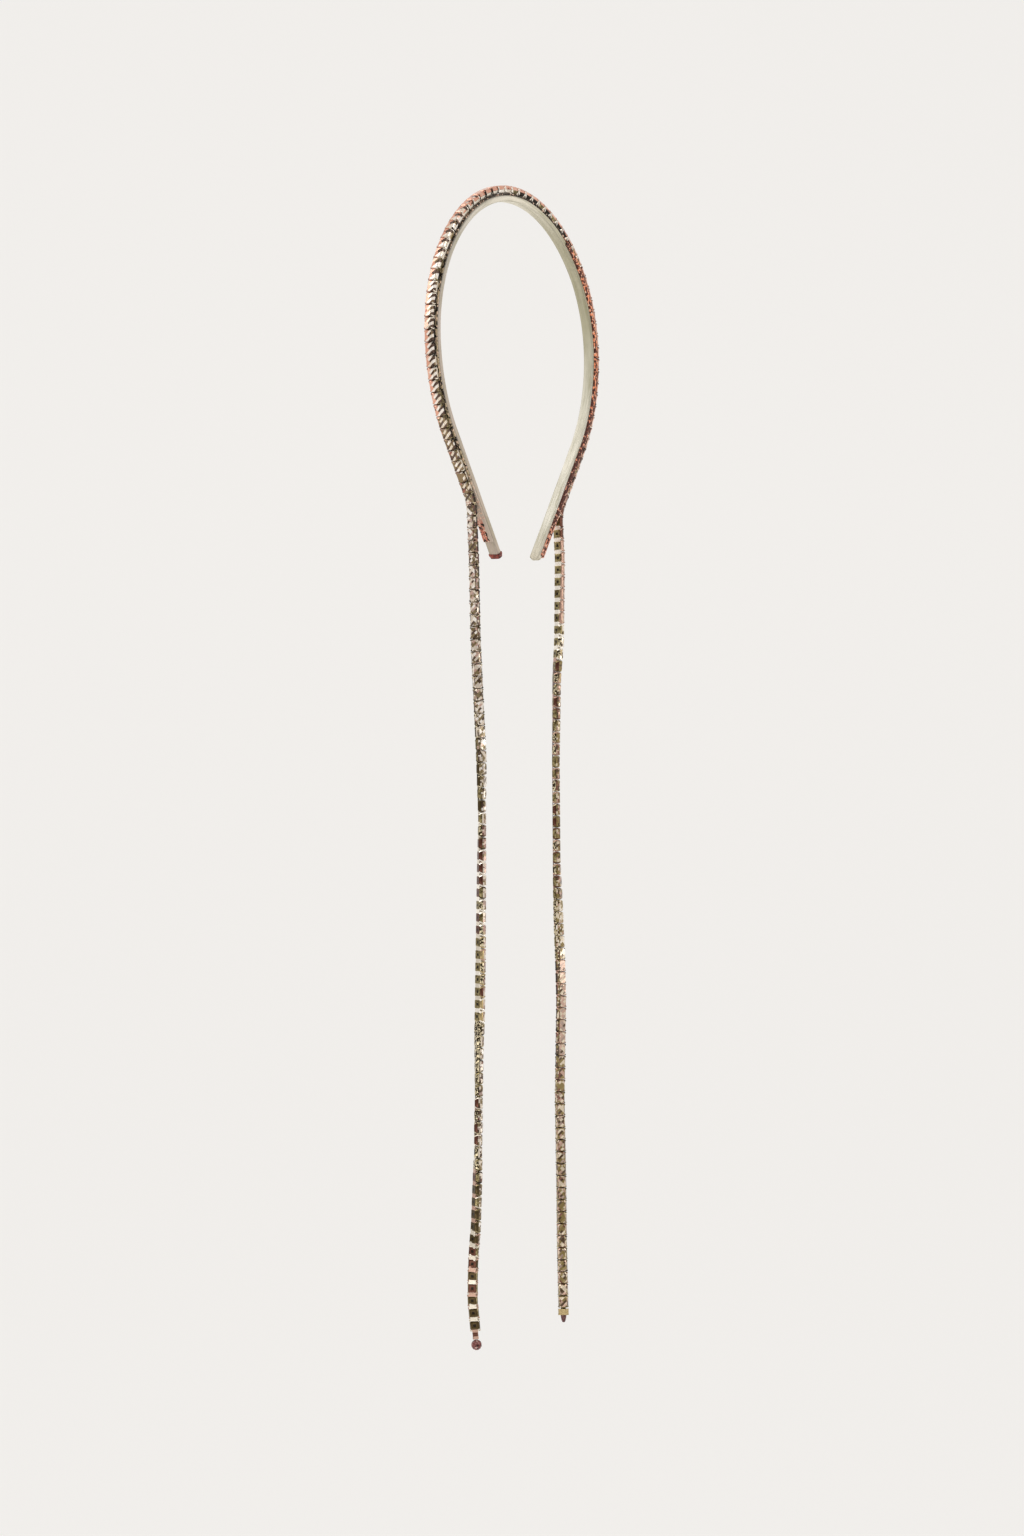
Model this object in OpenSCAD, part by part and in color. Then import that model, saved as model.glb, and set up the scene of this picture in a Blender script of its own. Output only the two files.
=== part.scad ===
// A crystal headband: a slim satin covered band that runs over the head from ear to ear.
// One chain of crystals in brass settings lies on its outer face, on a coral backing ribbon.
// Near each tip the chain leaves the band and hangs on as a long free strand.
// The origin is the middle of the band's inner face at the crown. X runs across the head,
// Y towards the back of the head and Z up.

/* [Band] */
// Radius of the inner face over the crown
crown_r = 52; // [50:0.5:56]
// Turn of the crown's arc on each side, in degrees
crown_turn = 29; // [26:1:32]
// Radius of the inner face beside the head
side_r = 59.5; // [58:0.5:64]
// Turn of the side's arc, in degrees
side_turn = 61; // [58:1:64]
// Radius of the inner face as it closes in below the ears
nape_r = 70.5; // [66:0.5:76]
// Turn of that closing arc, in degrees
nape_turn = 33; // [30:1:36]
// Length of the straight leg down to each tip
leg_run = 57.6; // [56:0.1:62]
// Width of the band
band_w = 4.7; // [4.4:0.1:6]
// Thickness of the band with its satin cover
band_t = 2.6; // [2:0.1:3]
// How far the crown leans back from the legs
band_lean = 2.8; // [0:0.1:8]

/* [Backing ribbon] */
// Width of the coral ribbon under the chain
ribbon_w = 4.6; // [3:0.1:4.6]
// Thickness of the ribbon
ribbon_t = 0.6; // [0.4:0.1:0.8]
// How far the ribbon's left end stays from the band's left tip
ribbon_left_rest = 8; // [6:0.5:20]
// How far its right end stays from the right tip
ribbon_right_rest = 2; // [1.5:0.5:6]
// Length of the stretch before the right end that is folded over the front edge
fold_run = 146; // [20:1:160]
// How far the fold reaches down the band's front edge
flap_h = 1.7; // [1:0.1:2.2]

/* [Chain] */
// Distance from one crystal to the next
pitch = 4.99; // [4.9:0.01:5.2]
// How far the whole chain has slid round the band towards the left strand
chain_slide = 1.5; // [-2:0.1:2]
// Crystals on the band, on each side of the chain's middle
band_stones = 33; // [30:1:33]
// Crystals on each hanging strand
strand_stones = 68; // [20:1:80]
// How far down the straight leg the chain starts to turn away from the band
leave_run = 26.2; // [24:0.1:30]
// Radius of that turn, at the middle of the chain's thickness
hang_r = 15; // [12:1:20]

/* [Setting] */
// Side of a setting's square base
base_w = 2.9; // [2.8:0.1:3]
// Width of a setting at its rim, across the chain
rim_w = 4.1; // [4:0.1:4.3]
// Length of a setting at its rim, along the chain
rim_l = 4.5; // [4.4:0.1:4.6]
// Height of a setting up to its rim
setting_h = 1.5; // [1.2:0.1:1.5]
// Thickness of a setting's floor
floor_t = 0.4; // [0.3:0.1:0.5]
// Width of the link between two settings
link_w = 2.7; // [2:0.1:2.8]
// Thickness of the link
link_t = 0.3; // [0.2:0.1:0.4]

/* [Crystal] */
// Width of a crystal at its girdle, across the chain
crystal_w = 3.5; // [3.3:0.1:3.5]
// Length of a crystal at its girdle, along the chain
crystal_l = 3.9; // [3.7:0.1:3.9]
// Side of its flattened lower end, which rests in the setting
culet_w = 2; // [1.6:0.1:2.1]
// Height of the girdle above the base of the setting
girdle_z = 1.5; // [1.5:0.1:1.8]
// Height of the straight girdle
girdle_h = 0.2; // [0.1:0.1:0.3]
// Height of the table above the base of the setting
table_h = 3.2; // [3:0.1:3.4]
// Width of the flat table on top
table_w = 2.6; // [1.8:0.1:2.8]
// Length of the table
table_l = 3.2; // [2.4:0.1:3.4]

/* [Left tip wrap] */
// Length of the wrap around the band's left tip
wrap_run = 2.2; // [1.5:0.1:4]
// Thickness of the wrap
wrap_t = 0.35; // [0.2:0.05:0.5]

/* [Strand ends] */
// Length of the brass tongue below the left strand's last crystal
tongue_run = 4; // [3:0.1:5]
// Width of the tongue
tongue_w = 2.4; // [1:0.1:2.6]
// Thickness of the tongue
tongue_t = 0.9; // [0.6:0.1:0.9]
// Diameter of the round drop below the tongue
left_drop_d = 4.4; // [3:0.1:5]
// Length of the brass collar below the right strand's last crystal
collar_run = 1.7; // [1.2:0.1:2.4]
// Width of the collar
collar_w = 4.4; // [4:0.1:5]
// Thickness of the collar
collar_t = 2.2; // [1.6:0.1:2.8]
// Width of the bar from the last setting to the collar
bar_w = 2.2; // [1.6:0.1:2.4]
// Thickness of the bar
bar_t = 0.8; // [0.6:0.1:0.9]
// Length of the pointed drop below the collar
right_drop_h = 3.8; // [3:0.1:6]
// Diameter of the pointed drop at its top
right_drop_d = 2.6; // [2:0.1:3]
// Diameter of its blunt point
point_d = 1; // [0.6:0.1:1.4]

/* [Hidden] */

// Left and right, as the sign of X
LEFT = -1;
RIGHT = 1;

// Clearance between pieces that lie on or in each other
gap = 0.05;
// How far a cut runs past the face it opens
cut_over = 0.01;
// Depth below the crown at which the lean ends and the legs hang plumb
lean_depth = 120;
// Length over which a tip of the band is rounded, and its steps
tip_round = 1.2;
tip_steps = [0, 0.1, 0.35, 0.7, 1.2];
// Spacing of the rings in the band and in the ribbon
ring_step = 4;
// Radius of the band's long edges
edge_r = 0.8;
// How much the ribbon's folded edge is flattened
fold_cut = 0.2;

// Each strand's rows are [how far down it hangs, sway towards the back, turn of its crystals
// about the strand, in degrees, away from facing straight out beside the head]
left_strand = [
    [0, 0, 0],
    [18, -0.9, 0],
    [51, -1.8, 19],
    [75, -3.3, 50],
    [99, -4.7, 85],
    [107, -4.8, 105],
    [123, -5, 125],
    [140, -4.8, 138],
    [166, -4.5, 150],
    [176, -4.4, 163],
    [205, -3.9, 165],
    [214, -3.5, 140],
    [232, -3.4, 128],
    [246, -3.3, 112],
    [256, -3.1, 122],
    [266, -2.9, 145],
    [288, -2, 158],
    [298, -1, 188],
    [306, -0.5, 205],
    [317, -0.4, 207],
    [333, -2.1, 210]];
right_strand = [
    [0, 0, 0],
    [16, -0.9, 0],
    [49, -0.5, -24],
    [66, 0.8, -45],
    [99, 1.2, -56],
    [141, 0.8, -58],
    [166, -0.2, -90],
    [182, -1, -110],
    [199, -1.5, -118],
    [240, -0.8, -132],
    [274, -1.5, -142],
    [299, -1.8, -146],
    [328, -2.6, -146]];

// Height of the chain's base above the band's inner face, and of the middle of its thickness
chain_base = band_t + gap + ribbon_t + 2 * gap;
chain_mid = chain_base + table_h / 2;

// Length of an arc that turns by so many degrees
function arc_run(r, turn) = r * turn * PI / 180;

// The right half of a line that lies a height above the inner face. Each row is a stretch's
// length and the degrees by which it turns down the side of the head.
function line_above(height, last_run) = [
    [arc_run(crown_r + height, crown_turn), crown_turn],
    [arc_run(side_r + height, side_turn), side_turn],
    [arc_run(nape_r + height, nape_turn), nape_turn],
    [last_run, 0]];
inner_line = line_above(0, leg_run);
strand_run = strand_stones * pitch + hang_r;
away_turn = crown_turn + side_turn + nape_turn - 90;
chain_line = concat(line_above(chain_mid, leave_run),
    [[arc_run(hang_r, away_turn), -away_turn], [strand_run, 0]]);

function total_run(line, count) = count == 0 ? 0 : line[count - 1][0] + total_run(line, count - 1);
band_half = total_run(inner_line, 4);
hang_start = total_run(chain_line, 5);

// Where a stretch gets to after a run u along it, from a heading a degrees below level
function stretch_end(u, turn, run, a) =
    turn == 0 ? u * [cos(a), -sin(a)]
    : let (r = run * 180 / (turn * PI), b = a + turn * u / run)
        r * [sin(b) - sin(a), cos(b) - cos(a)];

// [x, z, heading] at a run s from the crown along the right half of a line
function walk(line, s, i = 0, x = 0, z = 0, a = 0) =
    let (run = line[i][0], turn = line[i][1], d = stretch_end(min(s, run), turn, run, a))
        s <= run || i == len(line) - 1 ? [x + d[0], z + d[1], a + turn * min(s, run) / run]
        : walk(line, s - run, i + 1, x + d[0], z + d[1], a + turn);

// How far back the plane of the band leans at a height z of its inner face
function lean_y(z) = band_lean * (pow(max(0, 1 + z / lean_depth), 2) - 1);

// A point over the inner face: s along it from the crown, negative to the left, u outwards
// and v towards the back
function over_band(s, u, v) =
    let (w = walk(inner_line, abs(s)), side = s < 0 ? LEFT : RIGHT)
        [side * (w[0] + u * sin(w[2])), v + lean_y(w[1]), w[1] + u * cos(w[2])];

// A band's cross-section, centred on the origin, with its four corners rounded
function rounded_section(t, w, r) = [for (q = [0:3], k = [0:2])
    let (a = 90 * q + 45 * k,
        cu = (q == 0 || q == 3 ? 1 : -1) * (t / 2 - r),
        cv = (q < 2 ? 1 : -1) * (w / 2 - r))
        [cu + r * cos(a), cv + r * sin(a)]];
// The ribbon's cross-section where it lies flat, and where it is folded down the front edge
function flat_section(t, w) = [[t / 2, w / 2], [-t / 2, w / 2], [-t / 2, -w / 2], [t / 2, -w / 2]];
function folded_section(t, w, edge_v) = [
    [t / 2, edge_v - t + fold_cut], [t / 2, w / 2], [-t / 2, w / 2], [-t / 2, edge_v],
    [-t / 2 - flap_h, edge_v], [-t / 2 - flap_h, edge_v - t], [t / 2 - fold_cut, edge_v - t]];

// A closed skin over rings of equally many points
module skin(rings) {
    m = len(rings[0]);
    n = len(rings);
    sides = [for (i = [0:n - 2], j = [0:m - 1])
        let (a = i * m + j, b = i * m + (j + 1) % m) each [[a, b, b + m], [a, b + m, a + m]]];
    ends = [[for (j = [m - 1:-1:0]) j], [for (j = [0:m - 1]) (n - 1) * m + j]];
    polyhedron([for (ring = rings) each ring], concat(sides, ends));
}

// A strip of a cross-section, laid u above the inner face from one run to another
module strip(section, u, from, to) {
    count = ceil((to - from) / ring_step);
    skin([for (i = [0:count]) let (s = from + (to - from) * i / count)
        [for (p = section) over_band(s, u + p[0], p[1])]]);
}

// How much of its cross-section the band keeps at a distance e from its tip
function tip_share(e) = let (half = band_w / 2)
    e >= tip_round ? 1
    : (half - tip_round + sqrt(pow(tip_round, 2) - pow(tip_round - e, 2))) / half;

module band() {
    body_half = band_half - tip_round;
    count = ceil(2 * body_half / ring_step);
    runs = concat([for (e = tip_steps) e - band_half],
        [for (i = [1:count - 1]) body_half * (2 * i / count - 1)],
        [for (k = [len(tip_steps) - 1:-1:0]) band_half - tip_steps[k]]);
    color("#d9d3c0")
        skin([for (s = runs) let (share = tip_share(band_half - abs(s)))
            [for (p = rounded_section(band_t, band_w, edge_r))
                over_band(s, band_t / 2 + share * p[0], share * p[1])]]);
}

module backing_ribbon() {
    lift = band_t + gap + ribbon_t / 2;
    right_end = band_half - ribbon_right_rest;
    fold_start = right_end - fold_run;
    color("#d98a6e") {
        strip(flat_section(ribbon_t, ribbon_w), lift, ribbon_left_rest - band_half, fold_start);
        strip(folded_section(ribbon_t, ribbon_w, -band_w / 2 - gap), lift, fold_start, right_end);
    }
}

// Stands its children at a point of the right half of a line, or at its mirror image on the
// left. Their Z points outwards and their X away from the crown, before they turn about the
// vertical and then tilt towards the back.
module stand(side, point, y, turn = 0, tilt = 0) {
    translate([side * point[0], y, point[1]])
        rotate([tilt, 0, 0])
            rotate([0, 0, turn])
                rotate([0, side * point[2], 0])
                    rotate([0, 0, side == LEFT ? 180 : 0])
                        children();
}

module left_tip_wrap() {
    inner_t = band_t + 2 * gap;
    inner_w = band_w + 2 * gap;
    outer_t = inner_t + 2 * wrap_t;
    outer_w = inner_w + 2 * wrap_t;
    tip = walk(inner_line, band_half);
    color("#8e3a2c")
        stand(LEFT, tip, lean_y(tip[1]))
            translate([-wrap_run, 0, band_t / 2])
                difference() {
                    translate([wrap_t + gap, -outer_w / 2, -outer_t / 2])
                        cube([wrap_run, outer_w, outer_t]);
                    translate([0, -inner_w / 2, -inner_t / 2])
                        cube([wrap_run + gap, inner_w, inner_t]);
                }
}

// A bar with a silhouette that is the same on both sides of its middle. Each row of the levels
// is a height, a length and a width, and the column is the one that the silhouette takes.
module bar_of(levels, column) {
    rising = [for (row = levels) [row[column] / 2, row[0]]];
    falling = [for (i = [len(levels) - 1:-1:0]) [-levels[i][column] / 2, levels[i][0]]];
    linear_extrude(2 * crystal_l, center = true)
        polygon(concat(rising, falling));
}

// A body with a rectangular outline at every level, its corners mitred
module tapered(levels) {
    intersection() {
        rotate([90, 0, 0]) bar_of(levels, 1);
        rotate([90, 0, 90]) bar_of(levels, 2);
    }
}

// Side of the lower, tapered part of a crystal of a given side at its girdle, at a height above
// the base of its setting
culet_z = floor_t + gap;
function pavilion_w(z, side) = culet_w + (side - culet_w) * (z - culet_z) / (girdle_z - culet_z);
function hollow_level(z) = [z, pavilion_w(z, crystal_l) + 2 * gap, pavilion_w(z, crystal_w) + 2 * gap];

// One brass setting: a low square cup that widens to its rim, hollow for the crystal
module setting() {
    difference() {
        tapered([[0, base_w, base_w], [setting_h, rim_l, rim_w]]);
        tapered([hollow_level(floor_t), hollow_level(setting_h + cut_over)]);
    }
}

// One crystal: its tapered pavilion in the setting, a narrow girdle and the crown up to the table
module crystal() {
    tapered([
        [culet_z, culet_w, culet_w],
        [girdle_z, crystal_l, crystal_w],
        [girdle_z + girdle_h, crystal_l, crystal_w],
        [table_h, table_l, table_w]]);
}

// How far a link reaches under the setting at each end, and half its length
link_under = 0.25;
link_half = (pitch - base_w) / 2 + link_under;

// A link: a flat bar that bridges from the base of one setting to the next
module link(back = link_half) {
    translate([-back, -link_w / 2, gap])
        cube([back + link_half, link_w, link_t]);
}

// The strand's sway or turn at a drop below the place where it starts to hang
function strand_value(rows, drop, column) = lookup(drop, [for (row = rows) [row[0], row[column]]]);

// Places its children on the chain, count pitches from its middle, with their base inwards
module on_chain(side, count) {
    run = count * pitch - side * chain_slide;
    w = walk(chain_line, run, z = chain_mid);
    rows = side == LEFT ? left_strand : right_strand;
    drop = run - hang_start;
    sway = strand_value(rows, drop, 1);
    turn = strand_value(rows, drop, 2);
    rise = strand_value(rows, drop + pitch, 1) - strand_value(rows, drop - pitch, 1);
    tilt = atan(rise / (2 * pitch));
    stand(side, w, sway + lean_y(w[1] - chain_mid * cos(w[2])), turn, tilt)
        translate([0, 0, -table_h / 2])
            children();
}

// The settings from one count to another, with a link after each but the last
module settings(side, from, to) {
    for (i = [from:to])
        on_chain(side, i + 0.5) setting();
    for (i = [from:to - 1])
        on_chain(side, i + 1) link();
}

module crystals(side, from, to) {
    for (i = [from:to])
        on_chain(side, i + 0.5) crystal();
}

last_stone = band_stones + strand_stones - 1;
// How far below the middle of the last crystal the tongue and the bar start, in the cup's wall
wall_x = base_w / 2 + 0.15;
// How far below it the collar starts, and how far the bar reaches into the collar
collar_x = 3;
bar_in = 0.2;
// How far outwards of the chain's base the collar starts and the two drops have their middle
collar_lift = 0.2;
ball_lift = 1;
point_lift = 1.3;

module band_settings() {
    color("#b39b6b") {
        settings(LEFT, 0, band_stones - 1);
        settings(RIGHT, 0, band_stones - 1);
        on_chain(RIGHT, 0) link();
    }
}

module band_crystals() {
    color("#e9a98c") {
        crystals(LEFT, 0, band_stones - 1);
        crystals(RIGHT, 0, band_stones - 1);
    }
}

// The settings of a strand. Its first link ends just short of the band's last setting.
module strand_settings(side) {
    settings(side, band_stones, last_stone);
    on_chain(side, band_stones) link((pitch - base_w) / 2 - 4 * gap);
}

module left_strand_settings() {
    color("#b39b6b") {
        strand_settings(LEFT);
        // the brass tongue that reaches down to the round drop
        on_chain(LEFT, last_stone + 0.5)
            translate([wall_x, -tongue_w / 2, gap])
                cube([tongue_run, tongue_w, tongue_t]);
    }
}

module left_strand_crystals() {
    color("#ecd6cc") crystals(LEFT, band_stones, last_stone);
}

module left_end_drop() {
    color("#c2656a")
        on_chain(LEFT, last_stone + 0.5)
            translate([wall_x + tongue_run + gap + left_drop_d / 2, 0, ball_lift])
                sphere(d = left_drop_d, $fn = 32);
}

module right_strand_settings() {
    color("#b39b6b") {
        strand_settings(RIGHT);
        // the brass collar that ends the chain, and the bar it hangs by
        on_chain(RIGHT, last_stone + 0.5) {
            translate([collar_x, -collar_w / 2, collar_lift])
                cube([collar_run, collar_w, collar_t]);
            translate([wall_x, -bar_w / 2, gap])
                cube([collar_x + bar_in - wall_x, bar_w, bar_t]);
        }
    }
}

module right_strand_crystals() {
    color("#e6bda8") crystals(RIGHT, band_stones, last_stone);
}

module right_end_drop() {
    color("#5c2a30")
        on_chain(RIGHT, last_stone + 0.5)
            translate([collar_x + collar_run + gap, 0, point_lift])
                rotate([0, 90, 0])
                    cylinder(h = right_drop_h, d1 = right_drop_d, d2 = point_d, $fn = 32);
}

band();
backing_ribbon();
left_tip_wrap();
band_settings();
band_crystals();
left_strand_settings();
left_strand_crystals();
left_end_drop();
right_strand_settings();
right_strand_crystals();
right_end_drop();
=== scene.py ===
import math
import random

import bmesh
import bpy
from mathutils import Matrix, Vector, noise


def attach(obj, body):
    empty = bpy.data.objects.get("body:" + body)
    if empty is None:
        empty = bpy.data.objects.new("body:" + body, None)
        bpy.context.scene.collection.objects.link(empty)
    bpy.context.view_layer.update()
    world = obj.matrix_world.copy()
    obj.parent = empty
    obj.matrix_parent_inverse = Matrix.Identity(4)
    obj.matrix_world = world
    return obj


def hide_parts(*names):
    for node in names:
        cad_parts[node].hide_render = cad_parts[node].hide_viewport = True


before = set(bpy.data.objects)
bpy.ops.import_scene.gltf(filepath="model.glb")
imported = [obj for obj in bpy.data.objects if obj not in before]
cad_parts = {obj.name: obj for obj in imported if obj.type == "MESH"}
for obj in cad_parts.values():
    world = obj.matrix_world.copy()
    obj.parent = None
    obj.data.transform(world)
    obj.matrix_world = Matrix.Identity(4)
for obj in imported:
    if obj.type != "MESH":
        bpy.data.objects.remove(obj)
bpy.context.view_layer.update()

# The band
# A springy strip about 376 mm long, covered in cream satin that is pulled tight lengthwise and
# glued down, so that soft streaks run along it. It goes over the head and is open at the bottom.
mm = 0.001
LEFT = -1
RIGHT = 1
band_w = 4.7 * mm
band_t = 2.6 * mm
band_edge_r = 0.8 * mm
# The inner face in arcs from the crown down, as (radius, turn)
inner_arcs = [
    (52 * mm, math.radians(29)), (59.5 * mm, math.radians(61)), (70.5 * mm, math.radians(33))]
leg_run = 57.6 * mm
band_lean = 2.8 * mm
lean_depth = 120 * mm
tip_round = 1.2 * mm
# The satin's colours at runs in mm from the crown, negative to the left: partly its own tint,
# partly painted light and shade along the band
satin_tones_and_shade = [
    (-188, "c9b9aa"), (-160, "c4b5a4"), (-85, "c8baad"), (-45, "cfc8bc"), (0, "f0e9d6"),
    (40, "bdb79e"), (78, "b4af95"), (105, "dad6c5"), (140, "f8f3e3"), (170, "f4f0e2"),
    (188, "d6ceba")]
satin_olive = "96916f"
# Painted shade: the satin's rounded corners turn this grey, up to the share below
satin_corner_shade = "78756f"
corner_shade_share = 0.8
streaks_per_metre = 55
streaks_round = 1.6


def line_above(height, last_run):
    """The right half of a line at a height above the inner face, as (length, turn) stretches."""
    return [((radius + height) * turn, turn) for radius, turn in inner_arcs] + [(last_run, 0.0)]


def walk(line, s, z=0.0):
    """x, z and heading, the angle below level, at a run s from the crown along a line."""
    x = 0.0
    heading = 0.0
    for i, (run, turn) in enumerate(line):
        u = s if i == len(line) - 1 else min(s, run)
        after = heading + turn * u / run
        if turn:
            radius = run / turn
            x += radius * (math.sin(after) - math.sin(heading))
            z += radius * (math.cos(after) - math.cos(heading))
        else:
            x += u * math.cos(heading)
            z -= u * math.sin(heading)
        heading = after
        s -= u
        if s <= 0:
            break
    return x, z, heading


def lean_y(z):
    """How far back the plane of the band leans at a height z of its inner face."""
    return band_lean * (max(0.0, 1 + z / lean_depth) ** 2 - 1)


def over_band(s, u, v):
    """A point s along the inner face from the crown, negative to the left, u out and v back."""
    x, z, heading = walk(inner_line, abs(s))
    side = LEFT if s < 0 else RIGHT
    return Vector((side * (x + u * math.sin(heading)), v + lean_y(z), z + u * math.cos(heading)))


def rounded_outline(t, w, r, corner_steps, face_steps):
    """The outline of a rounded strip t thick and w wide, as (u, v) pairs about its middle."""
    outline = []
    corners = [(1, 1, 0), (-1, 1, 90), (-1, -1, 180), (1, -1, 270)]
    for i, (side_u, side_v, start) in enumerate(corners):
        for k in range(corner_steps + 1):
            a = math.radians(start + 90 * k / corner_steps)
            outline.append((side_u * (t / 2 - r) + r * math.cos(a),
                            side_v * (w / 2 - r) + r * math.sin(a)))
        u0, v0 = outline[-1]
        after_u, after_v, after_start = corners[(i + 1) % 4]
        a = math.radians(after_start)
        u1 = after_u * (t / 2 - r) + r * math.cos(a)
        v1 = after_v * (w / 2 - r) + r * math.sin(a)
        for k in range(1, face_steps):
            outline.append((u0 + (u1 - u0) * k / face_steps, v0 + (v1 - v0) * k / face_steps))
    return outline


def skin(rings):
    """The points and faces of a closed skin over rings of equally many points."""
    m = len(rings[0])
    points = [p for ring in rings for p in ring]
    faces = [
        (i * m + j, i * m + (j + 1) % m, (i + 1) * m + (j + 1) % m, (i + 1) * m + j)
        for i in range(len(rings) - 1)
        for j in range(m)
    ]
    last = (len(rings) - 1) * m
    return points, faces + [tuple(range(m - 1, -1, -1)), tuple(range(last, last + m))]


def make_piece(name, points, faces, finish, smooth=True):
    """A mesh object from points and faces, with one finish."""
    mesh = bpy.data.meshes.new(name)
    mesh.from_pydata([tuple(p) for p in points], [], faces)
    turned = bmesh.new()
    turned.from_mesh(mesh)
    bmesh.ops.recalc_face_normals(turned, faces=turned.faces)
    turned.to_mesh(mesh)
    turned.free()
    mesh.polygons.foreach_set("use_smooth", [smooth] * len(mesh.polygons))
    mesh.materials.append(finish.material)
    made = bpy.data.objects.new(name, mesh)
    bpy.context.scene.collection.objects.link(made)
    return made


def mark(made, name, values, domain="POINT"):
    """Stores one number for each point or face of a piece, for its finish to read."""
    attribute = made.data.attributes.new(name, "FLOAT", domain)
    attribute.data.foreach_set("value", values)


def shade(code):
    """The linear colour of a six-figure screen colour, by the usual curve of a screen."""
    parts = [int(code[i:i + 2], 16) / 255 for i in (0, 2, 4)]
    linear = [c / 12.92 if c < 0.04045 else ((c + 0.055) / 1.055) ** 2.4 for c in parts]
    return tuple(linear) + (1.0,)


class Wire:
    """An output of a shader node. Each sum on it adds a Math node to its finish."""

    def __init__(self, finish, socket):
        self.finish = finish
        self.socket = socket

    def math(self, operation, *values):
        """One Math node on these values."""
        return self.finish.node("ShaderNodeMath", {"operation": operation}, dict(enumerate(values)))

    def __add__(self, other):
        return self.math("ADD", self, other)

    __radd__ = __add__

    def __sub__(self, other):
        return self.math("SUBTRACT", self, other)

    def __rsub__(self, other):
        return self.math("SUBTRACT", other, self)

    def __mul__(self, other):
        return self.math("MULTIPLY", self, other)

    __rmul__ = __mul__

    def __truediv__(self, other):
        return self.math("DIVIDE", self, other)

    def __pow__(self, other):
        return self.math("POWER", self, other)

    def __gt__(self, other):
        return self.math("GREATER_THAN", self, other)

    def __lt__(self, other):
        return self.math("LESS_THAN", self, other)


class Finish:
    """One material: a Principled surface and the nodes that feed it."""

    def __init__(self, name, constants):
        self.material = bpy.data.materials.new(name)
        self.material.use_nodes = True
        self.tree = self.material.node_tree
        self.surface = self.tree.nodes["Principled BSDF"]
        for socket, value in constants.items():
            self.surface.inputs[socket].default_value = value

    def node(self, kind, settings, sockets, output=0):
        """Adds a node of any kind: its settings first, then the values or links of its sockets."""
        made = self.tree.nodes.new(kind)
        for name, value in settings.items():
            if name == "stops":
                ramp = made.color_ramp
                for place, colour in value[1:-1]:
                    ramp.elements.new(place).color = colour
                ramp.elements[0].position, ramp.elements[0].color = value[0]
                ramp.elements[-1].position, ramp.elements[-1].color = value[-1]
            else:
                setattr(made, name, value)
        for name, value in sockets.items():
            self.feed(made.inputs[name], value)
        return Wire(self, made.outputs[output])

    def feed(self, socket, value):
        """Links a wire to a socket, or sets a constant on it."""
        if isinstance(value, Wire):
            self.tree.links.new(value.socket, socket)
        else:
            socket.default_value = value

    def wear(self, socket, value):
        """Feeds one of the surface's sockets."""
        self.feed(self.surface.inputs[socket], value)

    def read(self, name):
        """A number that was stored on the piece."""
        return self.node("ShaderNodeAttribute", {"attribute_name": name}, {}, "Fac")

    def place(self):
        """Where a point is, in metres."""
        return self.node("ShaderNodeTexCoord", {}, {}, "Object")

    def join(self, x, y, z=0.0):
        """A vector from three numbers."""
        return self.node("ShaderNodeCombineXYZ", {}, {"X": x, "Y": y, "Z": z})

    def grain(self, vector, scale, detail=2.0, roughness=0.5):
        """Noise from 0 to 1."""
        return self.node("ShaderNodeTexNoise", {}, {
            "Vector": vector, "Scale": scale, "Detail": detail, "Roughness": roughness}, "Fac")

    def ramp(self, value, stops):
        """The colour at a value, between stops of (value, colour)."""
        return self.node("ShaderNodeValToRGB", {"stops": stops}, {"Fac": value})

    def rise(self, value, low, high):
        """0 up to a low value and 1 from a high one, with a slope between them."""
        return self.ramp(value, [(low, shade("000000")), (high, shade("ffffff"))])

    def steps(self, value, colours):
        """One of several colours, for equal parts of 0 to 1."""
        made = self.ramp(value, [(i / len(colours), shade(code)) for i, code in enumerate(colours)])
        made.socket.node.color_ramp.interpolation = "CONSTANT"
        return made

    def mix(self, share, first, second):
        """A colour between two colours."""
        return self.node("ShaderNodeMix", {"data_type": "RGBA"}, {0: share, 6: first, 7: second}, 2)

    def bump(self, height, depth):
        """Raises the surface by height times depth."""
        self.wear("Normal", self.node("ShaderNodeBump", {}, {"Height": height, "Distance": depth}))


inner_line = line_above(0.0, leg_run)
band_half = sum(run for run, turn in inner_line)


def along_band(finish, run, rows):
    """A colour that follows the run along the band, from rows of (run in mm, colour)."""
    longest = rows[-1][0]
    stops = [((place + longest) / (2 * longest), colour) for place, colour in rows]
    return finish.ramp(run / (2 * longest * mm) + 0.5, stops)


def satin_finish():
    """Cream satin: a fine weave under lengthwise streaks, pinker on the left than on the right,
    with painted light and shade along it and painted shade on its corners.
    """
    finish = Finish("Cream satin", {"Sheen Weight": 0.05, "Specular IOR Level": 0.3})
    run = finish.read("run")
    across = finish.read("across")
    corner = finish.read("corner")
    lengthwise = finish.join(run * streaks_per_metre, across * streaks_round)
    streaks = finish.grain(lengthwise, scale=1.0, detail=3.0, roughness=0.6)
    # Colours along the band, partly painted light and shade
    body = along_band(finish, run, [(place, shade(code)) for place, code in satin_tones_and_shade])
    body = finish.mix(finish.rise(streaks, 0.45, 0.85), body, shade(satin_olive))
    # Painted shade on the satin's rounded corners
    body = finish.mix(corner_shade_share * corner ** 1.5, body, shade(satin_corner_shade))
    finish.wear("Base Color", body)
    finish.wear("Roughness", 0.36 + 0.22 * streaks)
    weave = finish.node("ShaderNodeTexWave", {"bands_direction": "Y"}, {
        "Vector": finish.join(run, across), "Scale": 5.0, "Distortion": 0.4})
    finish.bump(0.5 * streaks + 0.18 * weave, 0.12 * mm)
    return finish


def tip_share(e):
    """How much of its cross-section the band keeps at a distance e from its tip."""
    half = band_w / 2
    if e >= tip_round:
        return 1.0
    return (half - tip_round + math.sqrt(tip_round ** 2 - (tip_round - e) ** 2)) / half


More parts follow.
